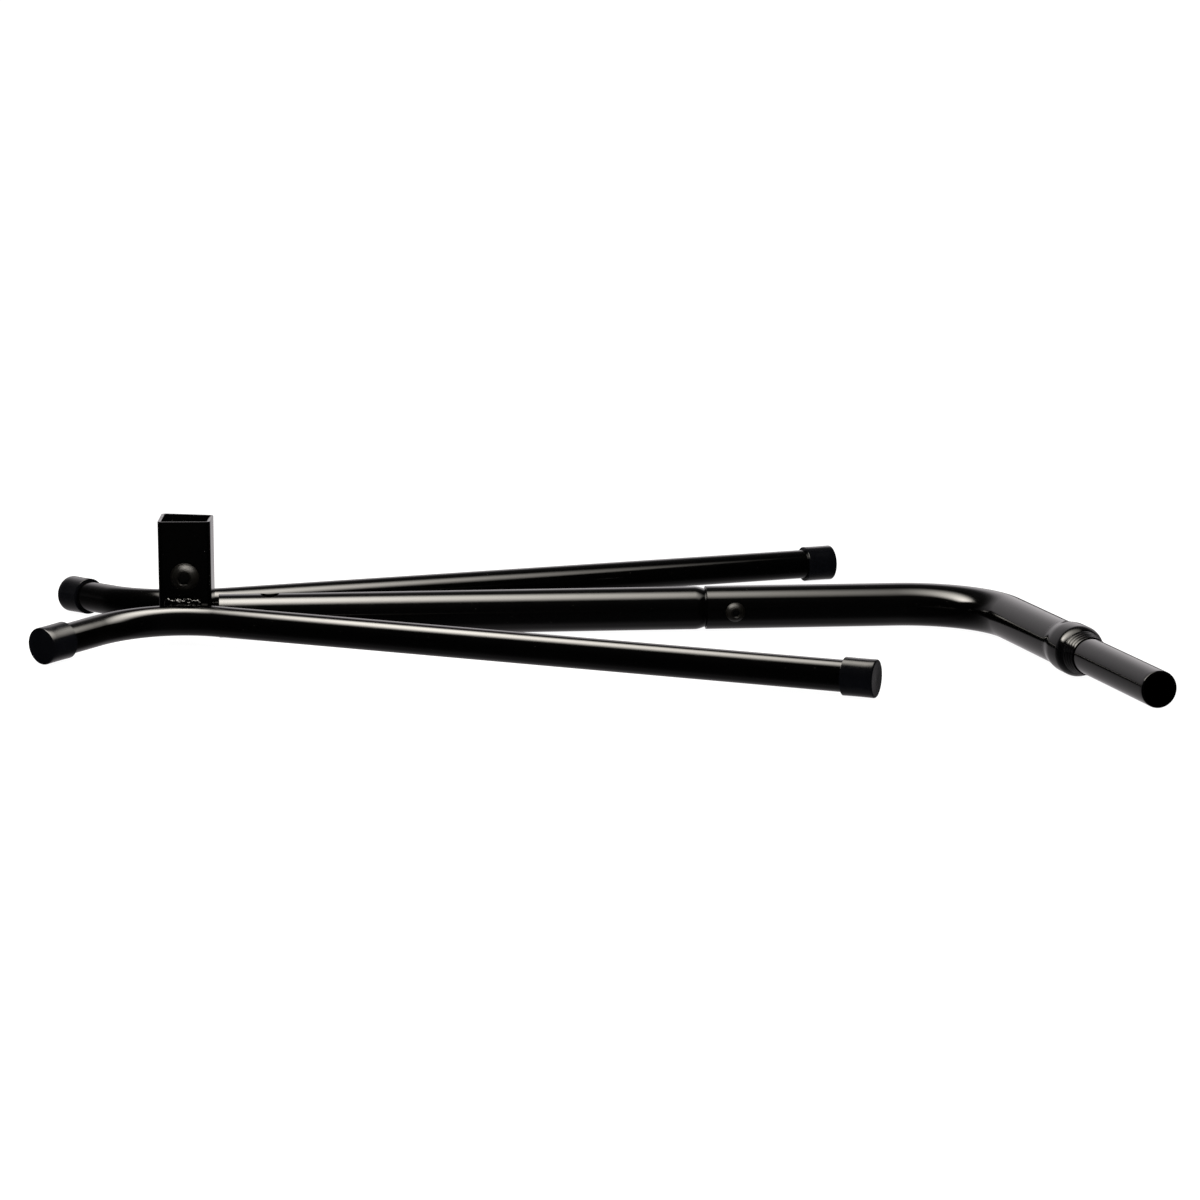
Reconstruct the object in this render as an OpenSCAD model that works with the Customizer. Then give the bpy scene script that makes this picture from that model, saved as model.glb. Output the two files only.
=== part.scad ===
// Knock-down tubular floor stand, laid out on the floor: a welded base of two
// bent legs with a square socket, and a loose bent mast with a turning tip tube.
// Millimetres, +Z up, origin on the floor below the middle of the whole lot.

/* [Legs] */
// Outside diameter of each leg tube
leg_d = 22.2; // [19:0.1:24]
// Wall of each leg tube
leg_wall = 1.5; // [1:0.1:2.5]
// Centre-line radius of the leg bend
leg_bend_r = 74.5; // [50:0.5:90]
// Angle that the short end of a leg turns away from the base's long axis
leg_short_angle = 49.9; // [35:0.1:60]
// Angle that the long end of a leg turns away from the base's long axis
leg_long_angle = 21.5; // [15:0.1:30]
// Straight length of the short end, up to the outside of its cap
leg_short_len = 55; // [40:1:90]
// Straight length of the long end, up to the outside of its cap
leg_long_len = 495.5; // [300:0.5:600]
// Place along the base where a leg lies parallel to its long axis
leg_apex_x = -2.7; // [-6:0.1:6]
// Height of the leg tube's centre beside the socket
leg_mid_h = 18.1; // [15:0.1:22]

/* [Leg caps] */
// Outside diameter of a leg cap
cap_d = 26.6; // [25:0.1:30]
// Length of a leg cap
cap_len = 23; // [15:0.5:35]
// Thickness of a cap's closed end
cap_end = 3; // [2:0.5:5]
// Rounding of a cap's closed end
cap_round = 1.6; // [0.5:0.1:2.5]

/* [Socket] */
// Outside width of the square socket tube
socket_w = 38.1; // [36:0.1:45]
// Wall of the socket tube
socket_wall = 2.5; // [1.5:0.1:2.6]
// Outside corner radius of the socket tube
socket_round = 4; // [3:0.5:6]
// Height of the socket's lower edge above the floor
socket_low = 8; // [6:0.5:12]
// Height of the socket's rim above the floor
socket_rim = 88.2; // [75:0.1:110]
// Height of the big bolt above the floor
socket_bolt_h = 47.5; // [44:0.5:55]

/* [Mast] */
// Outside diameter of both mast tubes
mast_d = 31.75; // [30:0.05:32]
// Wall of both mast tubes
mast_wall = 1.6; // [1.2:0.1:2]
// Gap between the socket and the mast's lower end
mast_gap = 4.3; // [3.5:0.1:20]
// Sideways place of the mast's lower end
mast_side = -3.3; // [-3.5:0.1:5]
// Heading of the mast from the base's long axis
mast_heading = 4.1; // [3:0.1:6]
// Distance from the mast's lower end to its cross hole
cross_hole_at = 37; // [30:0.5:45]
// Diameter of the cross hole
cross_hole_d = 13.5; // [12.5:0.1:14]
// Length of the lower tube up to its shoulder
lower_len = 348.4; // [250:0.1:400]
// Length of the shoulder where the lower tube is swaged down
shoulder_len = 7.4; // [5:0.1:12]
// Length of the swaged end that the upper tube slides over
insert_len = 56; // [45:1:80]
// Distance from the joint to the small bolt
joint_bolt_at = 20.5; // [15:0.5:30]
// Angle that the small bolt's head is turned down from level
joint_bolt_tilt = 4; // [0:1:10]
// Centre-line radius of the mast bend
mast_bend_r = 76.2; // [60:0.1:90]
// Angle of the mast bend
mast_bend_angle = 79.2; // [60:0.1:90]
// Straight length from the joint to the start of the mast bend
upper_len = 141; // [100:0.5:180]
// Straight length from the end of the mast bend to the collar
arm_len = 100.4; // [80:0.1:150]

/* [Collar and tip] */
// Largest diameter of the collar
collar_d = 36.1; // [34:0.1:40]
// Length of the collar's outer band
collar_band = 29; // [20:0.1:40]
// Length of the collar's stepped nose
collar_nose = 20.4; // [10:0.1:25]
// Outside diameter of the tip tube where it shows
tip_d = 25.4; // [22:0.05:25.4]
// Wall of the tip tube
tip_wall = 1.5; // [1:0.1:2.5]
// Length of tip tube that shows
tip_len = 117.8; // [60:0.1:200]
// Radial clearance of the tip tube's journal in its two bushes
journal_clear = 0.06; // [0.02:0.01:0.1]

/* [Hidden] */
$fn = 64;
eps = 1;
bend_hair = 0.2;
bend_overlap = 1;

leg_r = leg_d / 2;
cap_r = cap_d / 2;
mast_r = mast_d / 2;
mast_bore_r = mast_r - mast_wall;
collar_r = collar_d / 2;
tip_r = tip_d / 2;

// The socket's flat faces, and the leg axes beside them.
face_y = socket_w / 2;
leg_y = face_y + leg_r;

// A leg lies in one plane that dips to both ends, so that the caps meet the floor.
short_x = -leg_bend_r * sin(leg_short_angle) - leg_short_len * cos(leg_short_angle);
short_y = leg_bend_r * (1 - cos(leg_short_angle)) + leg_short_len * sin(leg_short_angle);
long_x = leg_bend_r * sin(leg_long_angle) + leg_long_len * cos(leg_long_angle);
long_y = leg_bend_r * (1 - cos(leg_long_angle)) + leg_long_len * sin(leg_long_angle);
chord = sqrt(pow(long_x - short_x, 2) + pow(long_y - short_y, 2));
apex_off_chord = (short_y * long_x - short_x * long_y) / chord;
leg_dip = asin((leg_mid_h - cap_r) / apex_off_chord);

// The big bolt and its nut.
bolt_d = 12;
bolt_head_d = 21;
bolt_head_h = 6.6;
bolt_hex = 8;
washer_d = 24;
washer_t = 2.5;
nut_af = 18;
nut_h = 12;
bolt_end_past_nut = 2.5;

// The small bolt and its nut.
joint_bolt_d = 8;
joint_head_d = 14.6;
joint_head_h = 4.4;
joint_hex = 5;
joint_nut_af = 13;
joint_nut_h = 8;
joint_seat = mast_r - 0.5;
saddle_d = 17;
saddle_out = mast_r + 2.6;
hole_clear = 0.25;

// The joint between the two mast tubes.
insert_r = mast_bore_r - 0.1;
neck_gap = 1;
joint_x = lower_len + shoulder_len + neck_gap;

// The collar, its two bushes and the tip tube's journal, along the arm.
collar_x = arm_len;
lip_x = collar_x + collar_band;
nose_x = lip_x + collar_nose;
journal_r = tip_r - 0.2;
bush_bore_r = journal_r + journal_clear;
collar_plug = 26;
guide_x = 22;
guide_len = 14;
ring_t = 1.2;
ring_r = mast_bore_r - 0.4;
ring_x = guide_x - ring_t - 0.4;
journal_x = ring_x - 5;
thrust_gap = 0.3;
tip_x = nose_x + thrust_gap;

// The mast rolls a little on the floor, because the collar is thicker than it.
bend_x = joint_x + upper_len;
lip_reach = mast_bend_r * (1 - cos(mast_bend_angle)) + lip_x * sin(mast_bend_angle);
mast_roll = asin((collar_r - mast_r) / lip_reach);
mast_x = face_y + mast_gap;

// Middle of the whole lot, seen from above, from the socket's axis.
arm_heading = mast_bend_angle - mast_heading;
tip_end = tip_x + tip_len;
arm_end_x = bend_x + mast_bend_r * sin(mast_bend_angle) + tip_end * cos(mast_bend_angle);
arm_end_y = -mast_bend_r * (1 - cos(mast_bend_angle)) - tip_end * sin(mast_bend_angle);
far_x = mast_x + arm_end_x * cos(mast_heading) - arm_end_y * sin(mast_heading)
    + tip_r * sin(arm_heading);
near_x = leg_apex_x + short_x - cap_r * sin(leg_short_angle);
near_y = mast_side + arm_end_x * sin(mast_heading) + arm_end_y * cos(mast_heading)
    - tip_r * cos(arm_heading);
far_y = leg_y + long_y + cap_r * cos(leg_long_angle);
mid_x = (far_x + near_x) / 2;
mid_y = (far_y + near_y) / 2;

steel_black = "#141415";
rubber_black = "#1b1c1f";
plastic_black = "#18181a";
bolt_black = "#2b2a28";
zinc = "#b9b9b4";
nylon = "#e4e2d8";

// ---- Frames ----

// Base: origin on the floor below the socket's axis, long legs towards +X.
module base_frame() translate([-mid_x, -mid_y, 0]) children();

// Leg: origin on the leg's axis beside the socket, bending towards +Y.
module leg_frame(side)
    base_frame() translate([leg_apex_x, side * leg_y, leg_mid_h])
        mirror([0, side < 0 ? 1 : 0, 0])
            rotate(a = leg_dip, v = [short_x - long_x, short_y - long_y, 0])
                children();

// Straight ends of a leg: +X runs out along the tube from the end of the bend.
module short_end()
    translate([0, leg_bend_r, 0]) rotate([0, 0, -leg_short_angle])
        translate([0, -leg_bend_r, 0]) rotate([0, 0, 180]) children();
module long_end()
    translate([0, leg_bend_r, 0]) rotate([0, 0, leg_long_angle])
        translate([0, -leg_bend_r, 0]) children();

// Mast: origin in the middle of its lower end, +X up the mast, bending to -Y.
module mast_frame()
    base_frame() translate([mast_x, mast_side, mast_r])
        rotate([0, 0, mast_heading]) rotate([-mast_roll, 0, 0]) children();

// Arm: origin at the end of the mast bend, +X towards the tip.
module arm_frame()
    mast_frame() translate([bend_x, -mast_bend_r, 0]) rotate([0, 0, -mast_bend_angle])
        translate([0, mast_bend_r, 0]) children();

// ---- Shared shapes ----

module rod_x(r, len) rotate([0, 90, 0]) cylinder(r = r, h = len);

// Solid of revolution about X, from points [x, radius].
module turned_x(points)
    rotate([0, 90, 0]) rotate_extrude() polygon([for (p = points) [p[1], p[0]]]);

// Points of a smooth step from [x0, r0] to [x1, r1].
function smooth_step(x0, r0, x1, r1, n = 8) =
    [for (i = [0 : n]) [x0 + (x1 - x0) * i / n, r0 + (r1 - r0) * (1 - cos(180 * i / n)) / 2]];

// Round bend about Z from one angle to another. It is a hair thinner than the
// straights and runs a little way into them, so that they join as one solid.
module bend(r, bend_r, from, to)
    rotate([0, 0, from - bend_overlap]) rotate_extrude(angle = to - from + 2 * bend_overlap)
        translate([bend_r, 0]) circle(r = r - bend_hair);

// A leg as a solid rod; reach lengthens both ends.
module leg_rod(r, reach) {
    translate([0, leg_bend_r, 0]) bend(r, leg_bend_r, -90 - leg_short_angle, leg_long_angle - 90);
    short_end() rod_x(r, leg_short_len - cap_end + reach);
    long_end() rod_x(r, leg_long_len - cap_end + reach);
}

module leg_tube() difference() {
    leg_rod(leg_r, 0);
    leg_rod(leg_r - leg_wall, eps);
}

// A slip-on cap whose closed end is len along X.
module leg_cap(len) translate([len, 0, 0]) rotate([0, -90, 0]) difference() {
    rotate_extrude() {
        translate([0, cap_round]) square([cap_r, cap_len - cap_round]);
        square([cap_r - cap_round, cap_len]);
        translate([cap_r - cap_round, cap_round]) circle(r = cap_round);
    }
    translate([0, 0, cap_end]) cylinder(r = leg_r, h = cap_len);
}

// Button-head bolt: the head stands out along -Z from z = 0, the shank along +Z.
module button_bolt(d, head_d, head_h, hex, len) {
    crown_d = head_d * 0.52;
    // The dome passes through the head's rim and the edge of its flat crown.
    dome_z = (pow(head_d / 2, 2) - pow(crown_d / 2, 2) - pow(head_h, 2)) / (2 * head_h);
    dome_r = sqrt(pow(head_d / 2, 2) + pow(dome_z, 2));
    difference() {
        union() {
            intersection() {
                translate([0, 0, dome_z]) sphere(r = dome_r);
                translate([0, 0, -head_h]) cylinder(d = head_d, h = head_h);
            }
            cylinder(d = d, h = len);
        }
        translate([0, 0, -head_h - eps])
            cylinder(d = hex / cos(30), h = head_h * 0.6 + eps, $fn = 6);
    }
}

// Hexagon lock nut from z = 0, with a round collar that holds its nylon ring.
module lock_nut(af, h, bore) difference() {
    union() {
        intersection() {
            cylinder(d = af / cos(30), h = h * 0.72, $fn = 6);
            cylinder(r1 = af * 0.53, r2 = af * 0.53 + h * 0.9, h = h);
            cylinder(r1 = af * 0.53 + h * 0.65, r2 = af * 0.53 - h * 0.25, h = h);
        }
        cylinder(r = af * 0.46, h = h);
    }
    translate([0, 0, -eps]) cylinder(d = bore, h = h + 2 * eps);
    translate([0, 0, h * 0.72]) cylinder(r = af * 0.36, h = h * 0.2);
}

// The nylon ring inside a lock nut.
module nut_ring(af, h, bore) translate([0, 0, h * 0.72]) difference() {
    cylinder(r = af * 0.36, h = h * 0.2);
    translate([0, 0, -eps]) cylinder(d = bore, h = h);
}

// ---- Base ----

module leg_front() color(steel_black) leg_frame(-1) leg_tube();
module leg_rear() color(steel_black) leg_frame(1) leg_tube();

module cap_front_short() color(rubber_black) leg_frame(-1) short_end() leg_cap(leg_short_len);
module cap_front_long() color(rubber_black) leg_frame(-1) long_end() leg_cap(leg_long_len);
module cap_rear_short() color(rubber_black) leg_frame(1) short_end() leg_cap(leg_short_len);
module cap_rear_long() color(rubber_black) leg_frame(1) long_end() leg_cap(leg_long_len);

module rounded_square(w, r) {
    square([w, w - 2 * r], center = true);
    square([w - 2 * r, w], center = true);
    for (x = [-1, 1], y = [-1, 1]) translate([x, y] * (w / 2 - r)) circle(r = r);
}

// Square tube with a fine weld-seam groove down the inside of its left wall.
module socket_tube() color(steel_black) base_frame() difference() {
    translate([0, 0, socket_low]) linear_extrude(socket_rim - socket_low) difference() {
        rounded_square(socket_w, socket_round);
        rounded_square(socket_w - 2 * socket_wall, socket_round - socket_wall);
        translate([-socket_w / 2 + socket_wall / 2, -0.4]) square([socket_wall, 0.8]);
    }
    translate([0, -socket_w, socket_bolt_h]) rotate([-90, 0, 0])
        cylinder(d = bolt_d + 2 * hole_clear, h = 2 * socket_w);
}

// Rippled bead laid in the crevice above a leg, against the socket's face.
module weld_bead(side) {
    half = 13;
    pitch = 3.2;
    step = 0.8;
    translate([0, side * (face_y + 3.1), leg_mid_h + 11.3]) turned_x(concat(
        [[-half, 0]],
        [for (x = [-half : step : half])
            [x, 1.2 + 2.6 * sqrt(1 - pow(abs(x) / half, 4)) + 0.2 * cos(360 * x / pitch)]],
        [[half, 0]]));
}
module weld_front() color(steel_black) base_frame() weld_bead(-1);
module weld_rear() color(steel_black) base_frame() weld_bead(1);

// Along the big bolt: z = 0 on the socket's front face, +Z through the socket.
module bolt_frame()
    base_frame() translate([0, -face_y, socket_bolt_h]) rotate([-90, 0, 0]) children();
module socket_bolt() color(bolt_black) bolt_frame()
    button_bolt(bolt_d, bolt_head_d, bolt_head_h, bolt_hex,
                socket_w + washer_t + nut_h + bolt_end_past_nut);
module socket_washer() color(zinc) bolt_frame() translate([0, 0, socket_w]) difference() {
    cylinder(d = washer_d, h = washer_t);
    translate([0, 0, -eps]) cylinder(d = bolt_d + 1, h = washer_t + 2 * eps);
}
module socket_nut() color(zinc) bolt_frame() translate([0, 0, socket_w + washer_t])
    lock_nut(nut_af, nut_h, bolt_d);
module socket_nut_insert() color(nylon) bolt_frame() translate([0, 0, socket_w + washer_t])
    nut_ring(nut_af, nut_h, bolt_d);

// ---- Mast ----

module mast_lower_tube() color(steel_black) mast_frame() difference() {
    turned_x(concat(
        [[0, mast_bore_r], [0, mast_r]],
        [for (t = [0 : 0.125 : 1])
            [lower_len + shoulder_len * t, mast_r + (insert_r - mast_r) * (1 - cos(90 * t))]],
        [[joint_x + insert_len, insert_r], [joint_x + insert_len, insert_r - mast_wall],
         [lower_len + shoulder_len, insert_r - mast_wall], [lower_len - 1, mast_bore_r]]));
    translate([cross_hole_at, 0, -mast_d]) cylinder(d = cross_hole_d, h = 2 * mast_d);
    joint_bolt_hole();
}

// The upper tube as a solid rod; reach lengthens both ends.
module upper_rod(r, reach) {
    translate([joint_x - reach, 0, 0]) rod_x(r, upper_len + reach);
    translate([bend_x, -mast_bend_r, 0]) bend(r, mast_bend_r, 90 - mast_bend_angle, 90);
    translate([bend_x, -mast_bend_r, 0]) rotate([0, 0, -mast_bend_angle])
        translate([0, mast_bend_r, 0]) rod_x(r, arm_len + reach);
}

module mast_upper_tube() color(steel_black) mast_frame() difference() {
    upper_rod(mast_r, 0);
    upper_rod(mast_bore_r, eps);
    joint_bolt_hole();
    // Spot face under the small bolt's head.
    joint_axis() translate([0, 0, -mast_r - eps])
        cylinder(d = joint_head_d + 0.2, h = mast_r - joint_seat + eps);
}

// Along the small bolt: origin on the mast's axis, +Z away from the head.
module joint_axis()
    translate([joint_x + joint_bolt_at, 0, 0]) rotate([joint_bolt_tilt - 90, 0, 0]) children();
module joint_bolt_hole()
    joint_axis() translate([0, 0, -mast_d])
        cylinder(d = joint_bolt_d + 2 * hole_clear, h = 2 * mast_d);

module joint_bolt() color(bolt_black) mast_frame() joint_axis() translate([0, 0, -joint_seat])
    button_bolt(joint_bolt_d, joint_head_d, joint_head_h, joint_hex,
                joint_seat + saddle_out + joint_nut_h + 2);

// Washer with a flat outer face and an inner face curved to the tube.
module joint_saddle_washer() color(zinc) mast_frame() difference() {
    joint_axis() cylinder(d = saddle_d, h = saddle_out);
    rod_x(mast_r, bend_x);
    joint_bolt_hole();
}
module joint_nut() color(zinc) mast_frame() joint_axis() translate([0, 0, saddle_out])
    lock_nut(joint_nut_af, joint_nut_h, joint_bolt_d);
module joint_nut_insert() color(nylon) mast_frame() joint_axis() translate([0, 0, saddle_out])
    nut_ring(joint_nut_af, joint_nut_h, joint_bolt_d);

// ---- Collar and tip ----

// Bush pushed into the arm's end: a plug inside, a flared band and a stepped nose.
module collar_bush() color(plastic_black) arm_frame() {
    nose_r = tip_r + 0.7;
    nose_drop = 2.6;
    step_count = 4;
    shelf_x = lip_x + collar_nose * 0.36;
    shelf_r = collar_r - nose_drop;
    step_len = (nose_x - shelf_x) / step_count;
    step_drop = (shelf_r - nose_r) / step_count;
    turned_x(concat(
        [[collar_x - collar_plug, bush_bore_r], [collar_x - collar_plug, mast_bore_r],
         [collar_x, mast_bore_r]],
        smooth_step(collar_x, mast_r + 0.35, lip_x - 12, collar_r),
        [for (t = [0 : 0.125 : 1])
            [lip_x + (shelf_x - lip_x) * t, collar_r - nose_drop * t * (0.25 + 0.75 * t)]],
        [for (i = [1 : step_count], e = [0, 1])
            [shelf_x + step_len * (i - 1 + e), shelf_r - step_drop * (i - 0.5 + e * 0.3)]],
        [[nose_x, bush_bore_r]]));
}

module guide_bush() color(nylon) arm_frame() turned_x([
    [guide_x, bush_bore_r], [guide_x, mast_bore_r],
    [guide_x + guide_len, mast_bore_r], [guide_x + guide_len, bush_bore_r]]);

// The tip tube: full diameter where it shows, a thinner journal inside the arm.
module tip_tube() color(steel_black) arm_frame() turned_x([
    [journal_x, tip_r - tip_wall], [journal_x, journal_r], [tip_x, journal_r],
    [tip_x, tip_r], [tip_end, tip_r], [tip_end, tip_r - tip_wall]]);

// Open snap ring behind the guide bush; it keeps the tip tube in the arm.
module retaining_ring() color(zinc) arm_frame() difference() {
    turned_x([[ring_x, journal_r], [ring_x, ring_r],
              [ring_x + ring_t, ring_r], [ring_x + ring_t, journal_r]]);
    translate([ring_x - eps, -2.5, 0]) cube([ring_t + 2 * eps, 5, mast_d]);
}

leg_front();
leg_rear();
cap_front_short();
cap_front_long();
cap_rear_short();
cap_rear_long();
socket_tube();
weld_front();
weld_rear();
socket_bolt();
socket_washer();
socket_nut();
socket_nut_insert();
mast_lower_tube();
mast_upper_tube();
joint_bolt();
joint_saddle_washer();
joint_nut();
joint_nut_insert();
collar_bush();
guide_bush();
tip_tube();
retaining_ring();
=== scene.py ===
"""Looks of a knock-down tubular floor stand that lies on a white studio floor.

Every length is in metres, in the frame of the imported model. The tubes, caps,
bolts and bushes are fine meshes built from the same driving dimensions as the
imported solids, and each rides on the body of the solid that it stands for.
"""
import math

import bmesh
import bpy
from mathutils import Matrix, Vector, noise


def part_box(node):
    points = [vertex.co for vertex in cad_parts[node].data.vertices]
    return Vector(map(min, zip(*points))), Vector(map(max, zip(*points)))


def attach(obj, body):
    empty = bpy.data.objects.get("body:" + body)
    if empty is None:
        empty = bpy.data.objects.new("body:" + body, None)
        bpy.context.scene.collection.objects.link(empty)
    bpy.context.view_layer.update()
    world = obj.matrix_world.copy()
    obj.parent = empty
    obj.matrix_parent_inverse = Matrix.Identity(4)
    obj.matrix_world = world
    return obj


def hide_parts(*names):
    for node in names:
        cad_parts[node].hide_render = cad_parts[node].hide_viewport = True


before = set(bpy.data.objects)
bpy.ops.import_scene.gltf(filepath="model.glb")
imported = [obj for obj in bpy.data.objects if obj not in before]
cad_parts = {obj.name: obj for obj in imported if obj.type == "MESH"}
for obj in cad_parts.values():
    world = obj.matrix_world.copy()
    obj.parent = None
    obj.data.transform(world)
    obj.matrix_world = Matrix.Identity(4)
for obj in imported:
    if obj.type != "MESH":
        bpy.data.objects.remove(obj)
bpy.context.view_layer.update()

MM = 0.001

# ---- Driving dimensions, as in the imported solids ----

LEG_R = 11.1 * MM
LEG_WALL = 1.5 * MM
LEG_BEND_R = 74.5 * MM
LEG_SHORT_ANGLE = math.radians(49.9)
LEG_LONG_ANGLE = math.radians(21.5)
LEG_SHORT_LEN = 55 * MM
LEG_LONG_LEN = 495.5 * MM
LEG_APEX_X = -2.7 * MM
LEG_MID_H = 18.1 * MM

CAP_R = 13.3 * MM
CAP_LEN = 23 * MM
CAP_END = 3 * MM
CAP_ROUND = 1.1 * MM

SOCKET_W = 38.1 * MM
SOCKET_WALL = 2.5 * MM
SOCKET_ROUND = 4 * MM
SOCKET_BOLT_H = 47.5 * MM

MAST_R = 15.875 * MM
MAST_WALL = 1.6 * MM
MAST_GAP = 4.3 * MM
MAST_SIDE = -3.3 * MM
MAST_HEADING = math.radians(4.1)
CROSS_HOLE_AT = 37 * MM
CROSS_HOLE_R = 6.75 * MM
LOWER_LEN = 348.4 * MM
SHOULDER_LEN = 7.4 * MM
NECK_GAP = 1 * MM
INSERT_LEN = 56 * MM
JOINT_BOLT_AT = 20.5 * MM
JOINT_BOLT_TILT = math.radians(4)
MAST_BEND_R = 76.2 * MM
MAST_BEND_ANGLE = math.radians(79.2)
UPPER_LEN = 141 * MM
ARM_LEN = 100.4 * MM

COLLAR_R = 18.05 * MM
COLLAR_BAND = 29 * MM
COLLAR_NOSE = 20.4 * MM
COLLAR_PLUG = 26 * MM
TIP_R = 12.7 * MM
TIP_WALL = 1.5 * MM
TIP_LEN = 117.8 * MM
THRUST_GAP = 0.3 * MM
GUIDE_AT = 22 * MM
RING_THICK = 1.2 * MM
RING_GAP = 0.4 * MM
TIP_TAIL = 5 * MM

BIG_BOLT_R = 6 * MM
BIG_HEAD_R = 10.5 * MM
BIG_HEAD_H = 6.6 * MM
BIG_HEX = 8 * MM
BIG_THREAD = 20 * MM
BIG_WASHER = 2.5 * MM
BIG_NUT_H = 12 * MM
SMALL_BOLT_R = 4 * MM
SMALL_HEAD_R = 7.3 * MM
SMALL_HEAD_H = 4.4 * MM
SMALL_HEX = 5 * MM
SMALL_THREAD = 12 * MM
SMALL_WASHER = 2.6 * MM
SMALL_NUT_H = 8 * MM
BOLT_HOLE_GAP = 0.25 * MM
JOINT_SEAT_R = 7.4 * MM
JOINT_SEAT_DEPTH = 0.5 * MM

ROUND_SIDES = 128
BEND_STEPS = 64

# ---- Derived places ----

socket_lo, socket_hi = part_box("socket_tube")
SOCKET_AXIS = (socket_lo + socket_hi) / 2
SOCKET_AXIS.z = 0
FACE_Y = SOCKET_W / 2
LEG_Y = FACE_Y + LEG_R
MAST_BORE_R = MAST_R - MAST_WALL
INSERT_R = MAST_BORE_R - 0.1 * MM
JOINT_X = LOWER_LEN + SHOULDER_LEN + NECK_GAP
JOURNAL_R = TIP_R - 0.2 * MM
BUSH_BORE_R = JOURNAL_R + 0.06 * MM
LIP_X = ARM_LEN + COLLAR_BAND
NOSE_X = LIP_X + COLLAR_NOSE
TIP_X = NOSE_X + THRUST_GAP
BEND_X = JOINT_X + UPPER_LEN


def place(x=0, y=0, z=0):
    """A matrix that moves by x, y, z."""
    return Matrix.Translation((x, y, z))


def turn(angle, axis):
    """A matrix that turns by angle about an axis, given by name or as a vector."""
    return Matrix.Rotation(angle, 4, axis)


BASE = place(*SOCKET_AXIS)


def leg_frame(side):
    """Leg frame: origin on the leg's axis beside the socket, bending towards +Y."""
    sa, la = LEG_SHORT_ANGLE, LEG_LONG_ANGLE
    short_x = -LEG_BEND_R * math.sin(sa) - LEG_SHORT_LEN * math.cos(sa)
    short_y = LEG_BEND_R * (1 - math.cos(sa)) + LEG_SHORT_LEN * math.sin(sa)
    long_x = LEG_BEND_R * math.sin(la) + LEG_LONG_LEN * math.cos(la)
    long_y = LEG_BEND_R * (1 - math.cos(la)) + LEG_LONG_LEN * math.sin(la)
    chord = math.hypot(long_x - short_x, long_y - short_y)
    apex_off_chord = (short_y * long_x - short_x * long_y) / chord
    dip = math.asin((LEG_MID_H - CAP_R) / apex_off_chord)
    dip_axis = Vector((short_x - long_x, short_y - long_y, 0))
    flip = Matrix.Diagonal((1, side, 1, 1))
    return BASE @ place(LEG_APEX_X, side * LEG_Y, LEG_MID_H) @ flip @ turn(dip, dip_axis)


def short_end():
    """From the leg frame to its short straight, +X out along the tube."""
    swing = turn(-LEG_SHORT_ANGLE, "Z")
    return place(y=LEG_BEND_R) @ swing @ place(y=-LEG_BEND_R) @ turn(math.pi, "Z")


def long_end():
    """From the leg frame to its long straight, +X out along the tube."""
    return place(y=LEG_BEND_R) @ turn(LEG_LONG_ANGLE, "Z") @ place(y=-LEG_BEND_R)


lip_reach = MAST_BEND_R * (1 - math.cos(MAST_BEND_ANGLE)) + LIP_X * math.sin(MAST_BEND_ANGLE)
mast_roll = math.asin((COLLAR_R - MAST_R) / lip_reach)
MAST = (BASE @ place(FACE_Y + MAST_GAP, MAST_SIDE, MAST_R)
        @ turn(MAST_HEADING, "Z") @ turn(-mast_roll, "X"))
ARM = (MAST @ place(BEND_X, -MAST_BEND_R) @ turn(-MAST_BEND_ANGLE, "Z")
       @ place(y=MAST_BEND_R))
JOINT_BOLT = (MAST @ place(JOINT_X + JOINT_BOLT_AT)
              @ turn(JOINT_BOLT_TILT - math.pi / 2, "X"))
JOINT_HOLE = JOINT_BOLT @ turn(-math.pi / 2, "Y")
SOCKET_BOLT = BASE @ place(0, -FACE_Y, SOCKET_BOLT_H) @ turn(-math.pi / 2, "X")

# ---- Mesh helpers ----


def make_object(name, bm, matrix, sharp=math.radians(35)):
    """Turns a bmesh into a smooth-shaded object whose edges past an angle stay sharp."""
    bm.transform(matrix)
    bmesh.ops.recalc_face_normals(bm, faces=bm.faces)
    mesh = bpy.data.meshes.new(name)
    bm.to_mesh(mesh)
    bm.free()
    obj = bpy.data.objects.new(name, mesh)
    bpy.context.scene.collection.objects.link(obj)
    sharpen(obj, sharp)
    return obj


def sharpen(obj, sharp):
    """Smooth shading, with hard edges where the surface turns by more than an angle."""
    bm = bmesh.new()
    bm.from_mesh(obj.data)
    for face in bm.faces:
        face.smooth = True
    for edge in bm.edges:
        edge.smooth = len(edge.link_faces) == 2 and edge.calc_face_angle() < sharp
    bm.to_mesh(obj.data)
    bm.free()


def join_rings(bm, rings, closed=False):
    """Skins quads between rings of equal length; closed also joins the last to the first."""
    pairs = list(zip(rings, rings[1:]))
    if closed:
        pairs.append((rings[-1], rings[0]))
    for a, b in pairs:
        for i in range(len(a)):
            j = (i + 1) % len(a)
            bm.faces.new((a[i], a[j], b[j], b[i]))


def cap_ring(bm, ring, centre):
    """Closes a ring with a fan to a centre point."""
    tip = bm.verts.new(centre)
    for i in range(len(ring)):
        bm.faces.new((ring[i], ring[(i + 1) % len(ring)], tip))


def round_ring(bm, x, r, sides=ROUND_SIDES):
    """A circle about X at x."""
    return [bm.verts.new((x, r * math.cos(a), r * math.sin(a)))
            for a in (math.tau * i / sides for i in range(sides))]


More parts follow.
